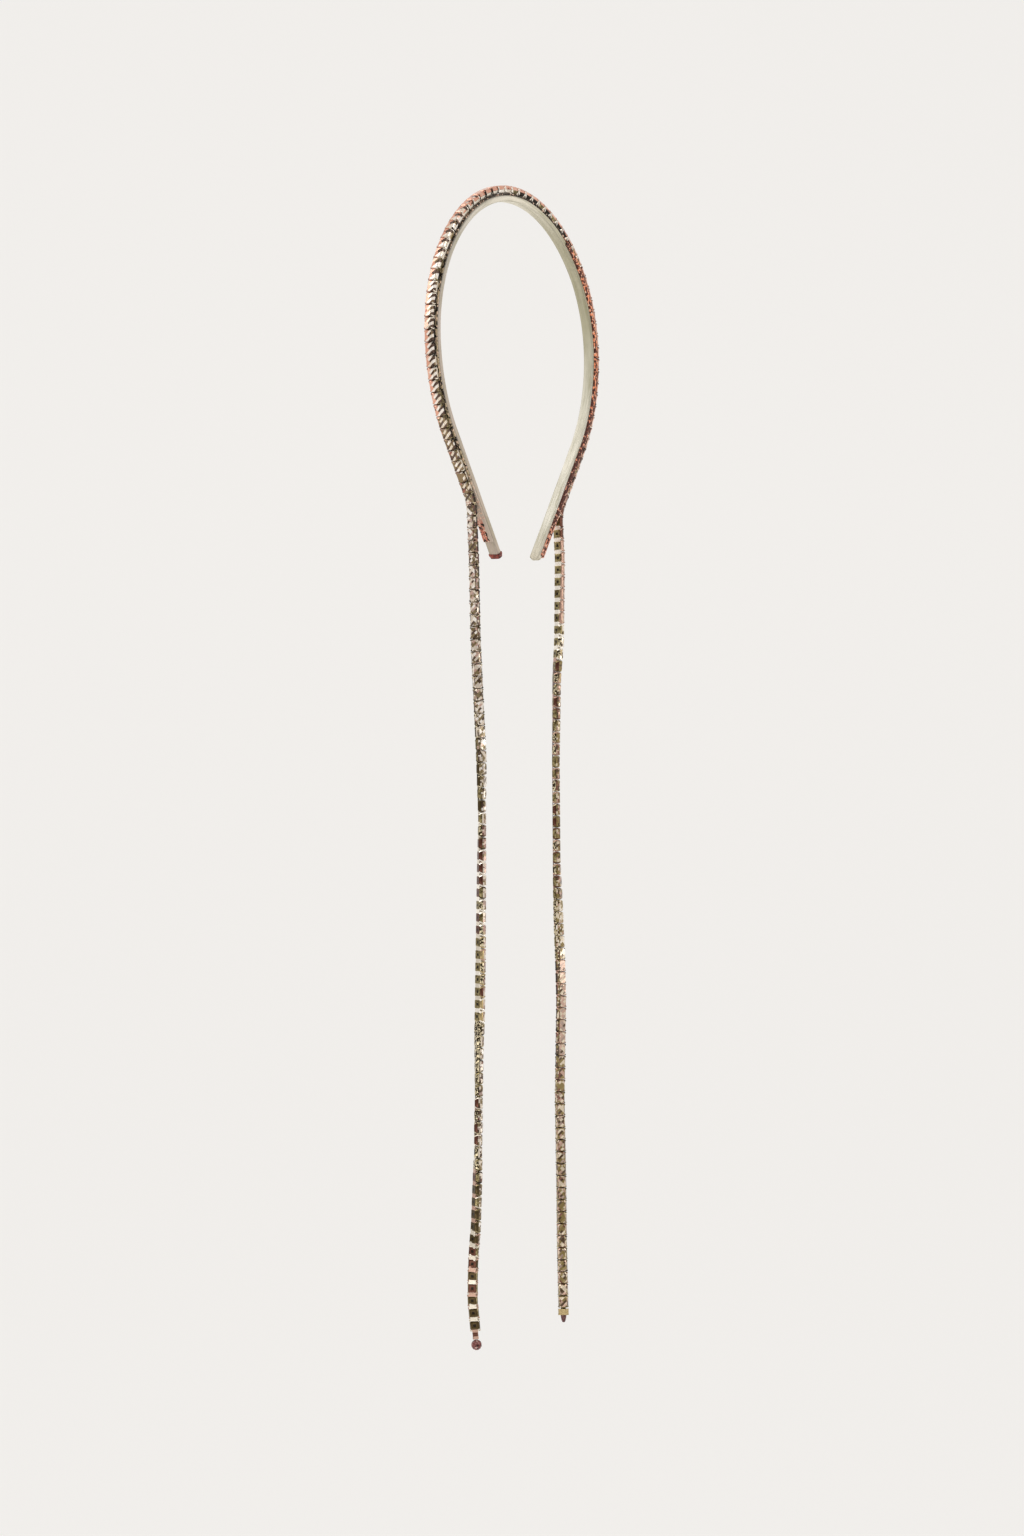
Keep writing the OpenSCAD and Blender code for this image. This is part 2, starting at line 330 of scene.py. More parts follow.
ring_step = 0.8 * mm
tip_runs = [band_half - tip_round * (1 - math.cos(math.radians(a))) for a in range(0, 90, 10)]
body_half = band_half - tip_round
body_count = math.ceil(2 * body_half / ring_step)
runs = [-s for s in tip_runs]
runs += [body_half * (2 * i / body_count - 1) for i in range(body_count + 1)]
runs += reversed(tip_runs)
outline = rounded_outline(band_t, band_w, band_edge_r, corner_steps=4, face_steps=5)
# The satin's soft creases, as (length, waves round the band, share of the depth)
creases = [(16 * mm, 1.4, 1.0), (34 * mm, 5, 0.6)]
crease_depth = 0.045 * mm
corner_wide = 0.75 * mm
rings = []
band_run = []
band_across = []
band_corner = []
for s in runs:
    share = tip_share(band_half - abs(s))
    ring = []
    for u, v in outline:
        round_it = math.atan2(v, u)
        out, back = math.cos(round_it), math.sin(round_it)
        crease = sum(part * noise.noise(Vector((s / length, waves * out, waves * back)))
                     for length, waves, part in creases)
        grow = share * (1 + crease_depth * crease / (band_t / 2))
        ring.append(over_band(s, band_t / 2 + grow * u, grow * v))
        band_run.append(s)
        band_across.append(round_it)
        off_corner = math.hypot(band_t / 2 - abs(u), band_w / 2 - abs(v))
        band_corner.append(max(0.0, 1 - off_corner / corner_wide))
    rings.append(ring)
satin = satin_finish()
band = make_piece("satin_band", *skin(rings), satin)
mark(band, "run", band_run)
mark(band, "across", band_across)
mark(band, "corner", band_corner)
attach(band, "root")
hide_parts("band")

# The backing ribbon
# A coral ribbon as wide as the band, glued along its outer face under the chain. Its left end is
# cut off just below where the strand leaves. On the right it is folded over the front edge.
ribbon_w = 4.6 * mm
ribbon_t = 0.6 * mm
ribbon_edge_r = 0.25 * mm
ribbon_left_rest = 8 * mm
ribbon_right_rest = 2 * mm
fold_run = 146 * mm
fold_overlap = 0.2 * mm
flap_h = 1.7 * mm
gap = 0.05 * mm
rib_step = 0.55 * mm
rib_h = 0.035 * mm
rings_per_rib = 3
ribbon_dark = "4c2012"
ribbon_shadow_and_threads = "241a0e"
ribbon_pale = "f0cdb4"
ribbon_cream = "c9b9aa"
# Its colours, and the share of it in dark spots, at runs in mm from the crown. Over the crown it is
# painted near-black as shadow under the chain; on the left it is olive-cream with spots of painted
# shadow
ribbon_tones_and_shade = [
    (-188, "c8745c"), (-171, "c8745c"), (-168, ribbon_cream), (-155, ribbon_cream),
    (-148, "b8a684"), (-75, "c4b08c"), (-50, "54442c"), (20, "2c2010"), (36, "2c2010"),
    (44, "f2956c"), (100, "fc9a6a"), (120, "f0946e"), (150, "e09c84"), (165, "dc9880"),
    (176, "dc9478"), (188, "dc9478")]
ribbon_dark_share = [
    (-188, 0.5), (-171, 0.5), (-168, 0.0), (-155, 0.0), (-148, 0.55), (-75, 0.55), (30, 0.6),
    (44, 0.46), (75, 0.38), (100, 0.42), (125, 0.56), (160, 0.62), (172, 0.35), (188, 0.35)]
# Spots are dark above this height of their noise, and more of them on the fold's lowest edge, where
# they are painted shade
dark_above = 0.79
fold_foot = -3.6 * mm
foot_shade = 0.12
shadow_spots_until = 40 * mm
# Left of this run the ribbon's front is cream, and the coral behind it starts at a ragged edge
cream_run = -169 * mm
cream_front = -0.2 * mm
cream_ragged = 1.2 * mm


def ribbon_finish():
    """Coral ribbon with darker and paler threads. Its colour changes along the band, with painted
    shadow of the chain over the crown and on the left.
    """
    finish = Finish("Coral ribbon", {"Sheen Weight": 0.05, "Specular IOR Level": 0.3})
    run = finish.read("run")
    across = finish.read("across")
    dark_place = finish.join(run / (1.5 * mm), across / (0.8 * mm))
    pale_place = finish.join(run / (1.1 * mm), across / (0.7 * mm), 5.0)
    dark = finish.grain(dark_place, scale=1.0, detail=1.0)
    pale = finish.grain(pale_place, scale=1.0, detail=1.0)
    body = along_band(finish, run, [(place, shade(code)) for place, code in ribbon_tones_and_shade])
    body = finish.mix(finish.rise(pale, 0.53, 0.61), body, shade(ribbon_pale))
    shares = [(place, (amount, amount, amount, 1.0)) for place, amount in ribbon_dark_share]
    share = along_band(finish, run, shares)
    # Up to 40 mm from the crown the dark spots are near-black: painted shadow of the chain, and
    # dark threads at the left end. Past it they are dark red threads. The extra spots on the fold's
    # lowest edge are painted shade
    spot = finish.mix(run > shadow_spots_until, shade(ribbon_shadow_and_threads), shade(ribbon_dark))
    darkness = dark + share * 0.5 + foot_shade * (across < fold_foot)
    body = finish.mix(darkness > dark_above, body, spot)
    cream_edge = cream_front - cream_ragged * dark
    body = finish.mix((run < cream_run) * (across < cream_edge), body, shade(ribbon_cream))
    finish.wear("Base Color", body)
    finish.wear("Roughness", 0.45 + 0.2 * pale)
    weave = finish.grain(finish.join(run / (0.3 * mm), across / (0.3 * mm)), scale=1.0, detail=2.0)
    finish.bump(weave, 0.06 * mm)
    return finish


def ribbon_strip(name, outline, across, start, end):
    """A ribbed strip of ribbon along the band, between two runs."""
    middle = band_t + gap + ribbon_t / 2
    count = math.ceil((end - start) / rib_step * rings_per_rib)
    rings = []
    runs = []
    for i in range(count + 1):
        s = start + (end - start) * i / count
        rib = rib_h * math.cos(math.tau * s / rib_step)
        rings.append([over_band(s, middle + u + rib * (1 if u > 0 else -1), v) for u, v in outline])
        runs += [s] * len(outline)
    made = make_piece(name, *skin(rings), ribbon)
    mark(made, "run", runs)
    mark(made, "across", across * (count + 1))
    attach(made, "root")
    return made


ribbon = ribbon_finish()
ribbon_end = band_half - ribbon_right_rest
fold_start = ribbon_end - fold_run
flat_outline = rounded_outline(ribbon_t, ribbon_w, ribbon_edge_r, corner_steps=2, face_steps=3)
flat_ribbon = ribbon_strip("coral_ribbon", flat_outline, [v for u, v in flat_outline],
                           ribbon_left_rest - band_half, fold_start + fold_overlap)
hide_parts("backing_ribbon")
# The folded stretch goes over the band's front edge and down its front face, as (u, v) pairs
edge_v = band_w / 2 + gap
flap_low = ribbon_t / 2 + flap_h
fold_outline = [
    (ribbon_t / 2, ribbon_w / 2), (ribbon_t / 2, 0.0), (ribbon_t / 2, -edge_v),
    (0.22 * mm, -edge_v - 0.35 * mm), (0.05 * mm, -edge_v - 0.53 * mm),
    (-0.15 * mm, -edge_v - ribbon_t), (-flap_low * 0.55, -edge_v - ribbon_t),
    (-flap_low, -edge_v - 0.8 * ribbon_t), (-flap_low, -edge_v - 0.1 * ribbon_t),
    (-flap_low * 0.5, -edge_v), (-ribbon_t / 2, -edge_v), (-ribbon_t / 2, 0.0),
    (-ribbon_t / 2, ribbon_w / 2)]
fold_across = [v + min(0.0, u - ribbon_t / 2) for u, v in fold_outline]
ribbon_strip("ribbon_fold", fold_outline, fold_across, fold_start, ribbon_end)

# The left tip's wrap
# Dark red thread wound tightly round the left tip, over the end of the satin, and stuck down.
# The right tip has none.
wrap_run = 2.2 * mm
wrap_t = 0.35 * mm
wrap_turns = 7
wrap_least_rest = 0.35 * mm
thread_r = 0.21 * mm
thread_sides = 8
thread_dark = "3c120a"
thread_red = "8a2e18"
thread_pink = "b4604a"


def thread_finish():
    """Dark red thread with a soft gloss, its strands twisted."""
    finish = Finish("Dark red thread", {"Specular IOR Level": 0.5, "Sheen Weight": 0.05})
    tone = finish.grain(finish.place(), scale=900.0, detail=2.0)
    finish.wear("Base Color", finish.ramp(tone, [
        (0.35, shade(thread_dark)), (0.55, shade(thread_red)), (0.75, shade(thread_pink))]))
    finish.wear("Roughness", 0.3 + 0.2 * tone)
    finish.bump(finish.grain(finish.place(), scale=5200.0, detail=1.0), 0.05 * mm)
    return finish


wrap_outline = rounded_outline(band_t + wrap_t, band_w + wrap_t, band_edge_r,
                               corner_steps=4, face_steps=4)
wrap_start = band_half - wrap_run + wrap_t + gap
thread_angles = [math.tau * j / thread_sides for j in range(thread_sides)]
wrap_points = []
wrap_faces = []
for turn in range(wrap_turns):
    s = wrap_start + thread_r + (wrap_run - 2 * thread_r) * turn / (wrap_turns - 1)
    inset = tip_share(max(band_half - s, wrap_least_rest))
    middle = over_band(-s, band_t / 2, 0.0)
    along = (over_band(-s - mm, band_t / 2, 0.0) - middle).normalized()
    rings = []
    for u, v in wrap_outline:
        point = over_band(-s, band_t / 2 + inset * u, inset * v)
        outwards = (point - middle).normalized()
        rings.append([point + thread_r * (math.cos(a) * outwards + math.sin(a) * along)
                      for a in thread_angles])
    start = len(wrap_points)
    m = len(rings)
    n = thread_sides
    wrap_points += [p for ring in rings for p in ring]
    wrap_faces += [
        (start + i * n + j, start + i * n + (j + 1) % n, start + (i + 1) % m * n + (j + 1) % n,
         start + (i + 1) % m * n + j)
        for i in range(m)
        for j in range(n)]
# Under the thread a closed core follows the tip and rounds it off, as (depth, size)
core_rows = [
    (0.0, 1.0), (wrap_run - 0.7 * mm, 0.98), (wrap_run - 0.3 * mm, 0.86),
    (wrap_run - 0.1 * mm, 0.62)]
core_rings = [
    [over_band(-wrap_start - depth, band_t / 2 + grow * u, grow * v) for u, v in wrap_outline]
    for depth, grow in core_rows]
core_points, core_faces = skin(core_rings)
shift = len(wrap_points)
wrap_points += core_points
wrap_faces += [tuple(k + shift for k in face) for face in core_faces]
wrap = make_piece("tip_wrap", wrap_points, wrap_faces, thread_finish())
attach(wrap, "root")
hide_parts("left_tip_wrap")

# The chain's settings
# Square cups stamped from brass, each with four claws that are folded over its crystal, and
# flat links soldered between them, painted pale as a reflection of the studio. The one chain lies
# along the band and hangs on below it. Its metal is painted in tones of reflection and shade.
pitch = 4.99 * mm
chain_slide = 1.5 * mm
band_stones = 33
strand_stones = 68
leave_run = 26.2 * mm
hang_r = 15 * mm
table_h = 3.2 * mm
base_w = 2.9 * mm
link_w = 2.7 * mm
link_wider = 0.1 * mm
link_t = 0.3 * mm
link_under = 0.25 * mm
claw_t = 0.2 * mm
claw_x = 2.12 * mm
claw_y = 1.92 * mm

# Each row is a drop and a strand's sway to the back there in mm, and its turn in degrees
left_strand = [
    (0, 0, 0), (18, -0.9, 0), (51, -1.8, 19), (75, -3.3, 50), (99, -4.7, 85), (107, -4.8, 105),
    (123, -5, 125), (140, -4.8, 138), (166, -4.5, 150), (176, -4.4, 163), (205, -3.9, 165),
    (214, -3.5, 140), (232, -3.4, 128), (246, -3.3, 112), (256, -3.1, 122), (266, -2.9, 145),
    (288, -2, 158), (298, -1, 188), (306, -0.5, 205), (317, -0.4, 207), (333, -2.1, 210)]
right_strand = [
    (0, 0, 0), (16, -0.9, 0), (49, -0.5, -24), (66, 0.8, -45), (99, 1.2, -56), (141, 0.8, -58),
    (166, -0.2, -90), (182, -1, -110), (199, -1.5, -118), (240, -0.8, -132), (274, -1.5, -142),
    (299, -1.8, -146), (328, -2.6, -146)]
chain_mid = band_t + gap + ribbon_t + 2 * gap + table_h / 2
away_turn = sum(turn for radius, turn in inner_arcs) - math.pi / 2
chain_line = line_above(chain_mid, leave_run)
chain_line += [(hang_r * away_turn, -away_turn), (strand_stones * pitch + hang_r, 0.0)]
hang_start = sum(run for run, turn in chain_line[:-1])
last_stone = band_stones + strand_stones - 1
# The brass's tones in order. The near-black one is painted shade, the dark red one painted shade
# tinted by the coral crystals, the rosy one a painted reflection of the crystals, and the silver
# and pale ones painted reflections of the pale studio
brass_colours = [
    "21180b", "a2946a", "5f3a2c", "ba9886", "b5a074", "e6dccb", "fdf6ea", "4c3d20", "d8caa8"]
SHADE_BLACK, PLATE, DARK_RED_SHADE, ROSY_REFLECTION, BRASS, SILVER_REFLECTION, PALE_REFLECTION, UMBER, FLECKED = [
    (i + 0.5) / len(brass_colours) for i in range(len(brass_colours))]
# How far from its value a tone still counts as that tone
tone_reach = 0.05
plate_dark = "5c4e2c"
fleck_dark = "352a14"
chance = random.Random(7)
quarters = ((1, 1), (-1, 1), (-1, -1), (1, -1))


def strand_value(rows, drop, column):
    """A strand's sway or turn at a drop, between the rows on either side."""
    for low, high in zip(rows, rows[1:]):
        if drop / mm <= high[0]:
            share = max(0.0, (drop / mm - low[0]) / (high[0] - low[0]))
            return low[column] + share * (high[column] - low[column])
    return rows[-1][column]


def on_chain(side, count):
    """The place count pitches from the chain's middle: Z outwards, X away from the crown."""
    run = count * pitch - side * chain_slide
    x, z, heading = walk(chain_line, run, chain_mid)
    rows = left_strand if side == LEFT else right_strand
    drop = run - hang_start
    sway = strand_value(rows, drop, 1) * mm
    rise = (strand_value(rows, drop + pitch, 1) - strand_value(rows, drop - pitch, 1)) * mm
    turn = math.radians(strand_value(rows, drop, 2))
    y = sway + lean_y(z - chain_mid * math.cos(heading))
    place = Matrix.Translation((side * x, y, z))
    place @= Matrix.Rotation(math.atan(rise / (2 * pitch)), 4, "X")
    place @= Matrix.Rotation(turn, 4, "Z")
    place @= Matrix.Rotation(side * heading, 4, "Y")
    if side == LEFT:
        place @= Matrix.Rotation(math.pi, 4, "Z")
    return place @ Matrix.Translation((0.0, 0.0, -table_h / 2))


class Shape:
    """Points and faces, with a tone from 0 to 1 for each face."""

    def __init__(self):
        self.points = []
        self.faces = []
        self.tones = []

    def add(self, points, faces, tones):
        """Adds faces, with one tone or part name for all or a list of them."""
        start = len(self.points)
        self.points += points
        self.faces += [tuple(k + start for k in face) for face in faces]
        self.tones += tones if isinstance(tones, list) else [tones] * len(faces)

    def add_at(self, place, shape, tones=None):
        """Adds a copy of a shape at a place."""
        self.add([place @ p for p in shape.points], shape.faces, tones or shape.tones)

    def middle(self, face):
        """The middle of a face."""
        return sum((self.points[k] for k in face), Vector()) / len(face)

    def piece(self, name, finish, node, smooth_below=35.0):
        """Makes this shape a piece of the headband that stands for a node of the part."""
        made = make_piece(name, self.points, self.faces, finish)
        made.data.set_sharp_from_angle(angle=math.radians(smooth_below))
        mark(made, "tone", self.tones, "FACE")
        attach(made, "root")
        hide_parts(node)


def square_ring(z, half_l, half_w, corner, steps):
    """A ring of points on a rectangle with rounded corners, or cut ones if steps is 1."""
    ring = []
    for quarter, (side_x, side_y) in enumerate(quarters):
        for k in range(steps + 1):
            a = math.radians(90 * (quarter + k / steps))
            ring.append(Vector((side_x * (half_l - corner) + corner * math.cos(a),
                                side_y * (half_w - corner) + corner * math.sin(a), z)))
    return ring


def cup_shape():
    """A square cup with a dimpled base, walls that widen to the rim, and its hollow."""
    corner_steps = 2
    around = 4 * (corner_steps + 1)
    # From the dimple over the walls into the hollow: height, half length, half width and corner
    profile = [
        (0.06, 0.55, 0.55, 0.2), (0.0, 0.95, 0.95, 0.3), (0.0, 1.57, 1.46, 0.28),
        (0.06, 1.7, 1.58, 0.32), (0.6, 2.38, 1.84, 0.38), (1.44, 2.48, 2.07, 0.4),
        (1.5, 2.46, 2.05, 0.4), (1.5, 2.06, 1.86, 0.4), (1.0, 1.58, 1.45, 0.3),
        (0.42, 1.1, 1.08, 0.25)]
    first_wall, last_wall, hollow_z = 3, 4, 1.4 * mm
    points, faces = skin([
        square_ring(z * mm, l * mm, w * mm, r * mm, corner_steps) for z, l, w, r in profile])
    cup = Shape()
    cup.add(points, faces, "plate")
    for i, face in enumerate(faces):
        level = i // around
        first, second, third = (points[k] for k in face[:3])
        normal = (second - first).cross(third - first)
        if first_wall <= level <= last_wall:
            cup.tones[i] = "end" if abs(normal.x) > abs(normal.y) else "side"
        elif level > last_wall:
            cup.tones[i] = "hollow" if first.z < hollow_z else "side"
    return cup


def claw_shape(reach_x, reach_y):
    """One claw, from the cup's corner up past the crystal's girdle and over its edge."""
    # Up the claw: its distance from the middle, height and width, and then half its outline
    route = [
        (2.1, 0.2, 0.8), (2.56, 0.7, 0.78), (2.92, 1.4, 0.72), (2.96, 1.8, 0.62),
        (2.88, 2.15, 0.54), (2.74, 2.42, 0.48), (2.56, 2.64, 0.42), (2.34, 2.8, 0.3)]
    section = [(1.0, 0.0), (0.75, 0.72), (0.0, 1.0), (0.0, -1.0), (0.75, -0.72)]
    turn = Matrix.Rotation(math.atan2(reach_y, reach_x), 4, "Z")
    rings = []
    for i, (r, z, w) in enumerate(route):
        before = route[max(i - 1, 0)]
        after = route[min(i + 1, len(route) - 1)]
        along = Vector((after[0] - before[0], 0.0, after[1] - before[1])).normalized()
        out = Vector((along.z, 0.0, -along.x))
        spine = Vector((r, 0.0, z)) * mm
        rings.append([turn @ (spine + out * claw_t * lift + Vector((0.0, w * mm / 2 * edge, 0.0)))
                      for lift, edge in section])
    return skin(rings)


def bar_shape(x0, x1, half_w, z0, z1, waist, edge):
    """A flat bar with bevelled long edges, drawn in at its middle."""
    section = [
        (half_w - edge, z0), (half_w, z0 + edge), (half_w, z1 - edge), (half_w - edge, z1),
        (edge - half_w, z1), (-half_w, z1 - edge), (-half_w, z0 + edge), (edge - half_w, z0)]
    rings = []
    for share in (0.0, 0.3, 0.5, 0.7, 1.0):
        narrow = 1 - (1 - waist) * math.sin(math.pi * share)
        rings.append([Vector((x0 + (x1 - x0) * share, y * narrow, z)) for y, z in section])
    return skin(rings)


def pick(*shares):
    """One of several tones, each given with its share of the whole."""
    total = chance.random() * sum(share for tone, share in shares)
    for tone, share in shares:
        total -= share
        if total <= 0:
            return tone
    return shares[-1][0]


# Where the band's stretch over the crown ends, and where the one beside the ears does
crown_run = 60 * mm
ear_run = 125 * mm


def band_metal(side, run):
    """The tones of one cup on the band, by the name of its part: painted reflections and shade,
    after what it reflects there.
    """
    if side == LEFT and run < crown_run:
        wall = pick((SILVER_REFLECTION, 5), (PALE_REFLECTION, 3), (BRASS, 1))
        end = SHADE_BLACK
        claw = pick((PALE_REFLECTION, 2), (SHADE_BLACK, 3), (ROSY_REFLECTION, 1))
    elif side == LEFT:
        wall = pick((SILVER_REFLECTION, 4), (SHADE_BLACK, 4), (PLATE, 2))
        end = pick((SHADE_BLACK, 3), (PLATE, 1))
        claw = pick((SILVER_REFLECTION, 3), (PLATE, 3), (SHADE_BLACK, 2))
    elif run < crown_run:
        wall = pick((SHADE_BLACK, 6), (PLATE, 1))
        end = claw = PALE_REFLECTION
    elif run < ear_run:
        wall = pick((DARK_RED_SHADE, 5), (ROSY_REFLECTION, 3), (SHADE_BLACK, 2))
        end = pick((DARK_RED_SHADE, 2), (SHADE_BLACK, 2))
        claw = pick((DARK_RED_SHADE, 1), (ROSY_REFLECTION, 3))
    else:
        wall = pick((SHADE_BLACK, 6), (DARK_RED_SHADE, 2), (PLATE, 1))
        end = pick((SILVER_REFLECTION, 4), (ROSY_REFLECTION, 3))
        claw = pick((ROSY_REFLECTION, 3), (SILVER_REFLECTION, 2))
    low_claw = ROSY_REFLECTION if side == LEFT else claw
    return {"plate": PLATE, "hollow": SHADE_BLACK, "side": wall, "end": end, "link": PALE_REFLECTION,
            "claw": claw, "low claw": low_claw}


# Each row is a drop in mm and the tones that a strand's metal has above it, with the share of
# each: of the cups' bases, of their side walls, of their end walls and links, and of their claws.
# Most of these tones are painted reflections and shade.
metal_rows = {
    LEFT: [
        (40, ((PLATE, 1),), ((DARK_RED_SHADE, 3), (SHADE_BLACK, 4)), ((SILVER_REFLECTION, 2), (ROSY_REFLECTION, 1)),
         ((ROSY_REFLECTION, 3), (FLECKED, 2), (SHADE_BLACK, 1))),
        (120, ((PLATE, 1),), ((FLECKED, 3), (PLATE, 2), (UMBER, 3)), ((SILVER_REFLECTION, 2), (FLECKED, 2)),
         ((FLECKED, 3), (UMBER, 2))),
        (168, ((DARK_RED_SHADE, 3), (PLATE, 1)), ((DARK_RED_SHADE, 3), (PLATE, 2), (FLECKED, 1)),
         ((PALE_REFLECTION, 1), (SILVER_REFLECTION, 1)), ((PALE_REFLECTION, 2), (ROSY_REFLECTION, 1), (UMBER, 1))),
        (205, ((PLATE, 2), (DARK_RED_SHADE, 1)), ((BRASS, 2), (DARK_RED_SHADE, 1), (FLECKED, 3)),
         ((PALE_REFLECTION, 1), (SILVER_REFLECTION, 1)), ((PALE_REFLECTION, 2), (ROSY_REFLECTION, 2), (BRASS, 2))),
        (266, ((FLECKED, 2), (PLATE, 1)), ((FLECKED, 4), (PLATE, 1), (DARK_RED_SHADE, 1), (UMBER, 1)),
         ((ROSY_REFLECTION, 1), (SILVER_REFLECTION, 1), (FLECKED, 4)), ((FLECKED, 4), (SILVER_REFLECTION, 1), (PLATE, 2))),
        (292, ((UMBER, 3), (DARK_RED_SHADE, 1)), ((UMBER, 3), (PLATE, 2), (DARK_RED_SHADE, 1)),
         ((ROSY_REFLECTION, 2), (FLECKED, 2)), ((PLATE, 2), (SILVER_REFLECTION, 2), (SHADE_BLACK, 1))),
        (999, ((UMBER, 5), (DARK_RED_SHADE, 2)), ((UMBER, 3), (PLATE, 1)), ((SILVER_REFLECTION, 4), (ROSY_REFLECTION, 1)),
         ((SILVER_REFLECTION, 1), (ROSY_REFLECTION, 1)))],
    RIGHT: [
        (9, ((PLATE, 1),), ((DARK_RED_SHADE, 4), (ROSY_REFLECTION, 1)), ((PALE_REFLECTION, 1),), ((ROSY_REFLECTION, 2), (DARK_RED_SHADE, 3))),
        (44, ((PLATE, 1),), ((ROSY_REFLECTION, 1),), ((PALE_REFLECTION, 1),), ((ROSY_REFLECTION, 3), (DARK_RED_SHADE, 1))),
        (57, ((PLATE, 1),), ((PLATE, 3), (FLECKED, 2)), ((PALE_REFLECTION, 1),), ((PALE_REFLECTION, 2), (ROSY_REFLECTION, 2))),
        (157, ((PLATE, 1),), ((PLATE, 4), (FLECKED, 3), (DARK_RED_SHADE, 1)), ((ROSY_REFLECTION, 3), (DARK_RED_SHADE, 2)),
         ((ROSY_REFLECTION, 3), (DARK_RED_SHADE, 2), (PLATE, 3), (FLECKED, 2))),
        (180, ((PLATE, 1),), ((FLECKED, 4), (PLATE, 2)), ((ROSY_REFLECTION, 1), (SILVER_REFLECTION, 1)),
         ((FLECKED, 3), (SILVER_REFLECTION, 2), (PLATE, 2))),
        (224, ((PLATE, 1),), ((SHADE_BLACK, 3), (DARK_RED_SHADE, 1)), ((SHADE_BLACK, 1), (ROSY_REFLECTION, 2)),
         ((ROSY_REFLECTION, 3), (PALE_REFLECTION, 1), (SHADE_BLACK, 2))),
        (999, ((PLATE, 1),), ((FLECKED, 3), (SHADE_BLACK, 2)), ((BRASS, 1), (ROSY_REFLECTION, 2)),
         ((FLECKED, 5), (PLATE, 2), (ROSY_REFLECTION, 2)))]}


def at_drop(rows, side, run):
    """The row for a place on a strand."""
    drop = (run - side * chain_slide - hang_start) / mm
    return next(row[1:] for row in rows[side] if drop < row[0])


def strand_metal(side, run):
    """The tones of one cup of a strand, by the name of its part, mostly painted reflections and
    shade.
    """
    plate, wall, end, claw = (pick(*shares) for shares in at_drop(metal_rows, side, run))
    return {"plate": plate, "hollow": SHADE_BLACK, "side": wall, "end": end, "link": end,
            "claw": claw, "low claw": claw}


def colour_at(tone, colours):
    """The colour that a tone picks from a finish's colours."""
    return shade(colours[int(tone * len(colours))])


def brass_finish():
    """Brass of nine tones, from black painted shade to pale painted reflections on the links. Two
    of the tones are mottled.
    """
    finish = Finish("Brass settings", {"Metallic": 0.7})
    tone = finish.read("tone")
    mottle = finish.grain(finish.place(), scale=900.0, detail=3.0)
    metal = finish.steps(tone, brass_colours)
    plate = colour_at(PLATE, brass_colours)
    worn = finish.mix(finish.rise(mottle, 0.38, 0.62), shade(plate_dark), plate)
    metal = finish.mix((tone > PLATE - tone_reach) * (tone < PLATE + tone_reach), metal, worn)
    fleck = finish.grain(finish.place(), scale=1300.0, detail=1.0)
    metal = finish.mix((tone > FLECKED - tone_reach) * (fleck < 0.5), metal, shade(fleck_dark))
    finish.wear("Base Color", metal)
    finish.wear("Roughness", 0.2 + 0.25 * mottle)
    finish.bump(finish.grain(finish.place(), scale=2600.0, detail=2.0), 0.03 * mm)
    return finish


# The links are painted pale, as a reflection of the pale studio
link = Shape()
link_half = (pitch - base_w) / 2 + link_under
link.add(*bar_shape(-link_half, link_half, link_w / 2 + link_wider, gap, gap + link_t,
                    waist=0.94, edge=0.06 * mm), PALE_REFLECTION)
setting = cup_shape()
for side_x, side_y in quarters:
    setting.add(*claw_shape(side_x * claw_x, side_y * claw_y), "claw" if side_y > 0 else "low claw")


def add_setting(chain, side, number, metal_of):
    """Adds the cup of one crystal and the link before it to a stretch of the chain."""
    metal = metal_of(side, (number + 0.5) * pitch)
    chain.add_at(on_chain(side, number + 0.5), setting, [metal[part] for part in setting.tones])
    if number > 0 or side == RIGHT:
        chain.add_at(on_chain(side, number), link, [metal["link"]] * len(link.faces))


brass = brass_finish()
band_chain = Shape()
for side in (LEFT, RIGHT):
    for i in range(band_stones):
        add_setting(band_chain, side, i, band_metal)
band_chain.piece("band_chain", brass, "band_settings")

# Below its last cup the left strand has a flat brass tongue, and the right one a thick collar on
# a bar. Both are soldered to the cup.
wall_x = base_w / 2 + 0.15 * mm
tongue_run = 4.0 * mm
tongue_w = 2.4 * mm
tongue_t = 0.9 * mm
collar_x = 3.0 * mm
collar_run = 1.7 * mm
collar_over = 0.8 * mm
collar_w = 4.4 * mm
collar_t = 2.2 * mm
collar_lift = 0.2 * mm
bar_w = 2.2 * mm
bar_t = 0.8 * mm
bar_into = 0.2 * mm
left_end = Shape()
left_end.add(*bar_shape(wall_x, wall_x + tongue_run, tongue_w / 2, gap, gap + tongue_t,
                        waist=0.95, edge=0.15 * mm), ROSY_REFLECTION)
# The tongue's tones are painted: rosy reflection, dark red shade and black shade
left_end.tones = [pick((ROSY_REFLECTION, 3), (DARK_RED_SHADE, 3), (SHADE_BLACK, 2)) for face in left_end.faces]
right_end = Shape()
right_end.add(*bar_shape(wall_x, collar_x + bar_into, bar_w / 2, gap, gap + bar_t,
                         waist=0.9, edge=0.1 * mm), PLATE)
collar_end = collar_x + collar_run + collar_over
right_end.add(*bar_shape(collar_x, collar_end, collar_w / 2, collar_lift, collar_lift + collar_t,
                         waist=0.96, edge=0.4 * mm), BRASS)
for side, name, end in ((LEFT, "left", left_end), (RIGHT, "right", right_end)):
    strand = Shape()
    for i in range(band_stones, last_stone + 1):
        add_setting(strand, side, i, strand_metal)
    strand.add_at(on_chain(side, last_stone + 0.5), end)
    strand.piece(name + "_chain", brass, name + "_strand_settings")

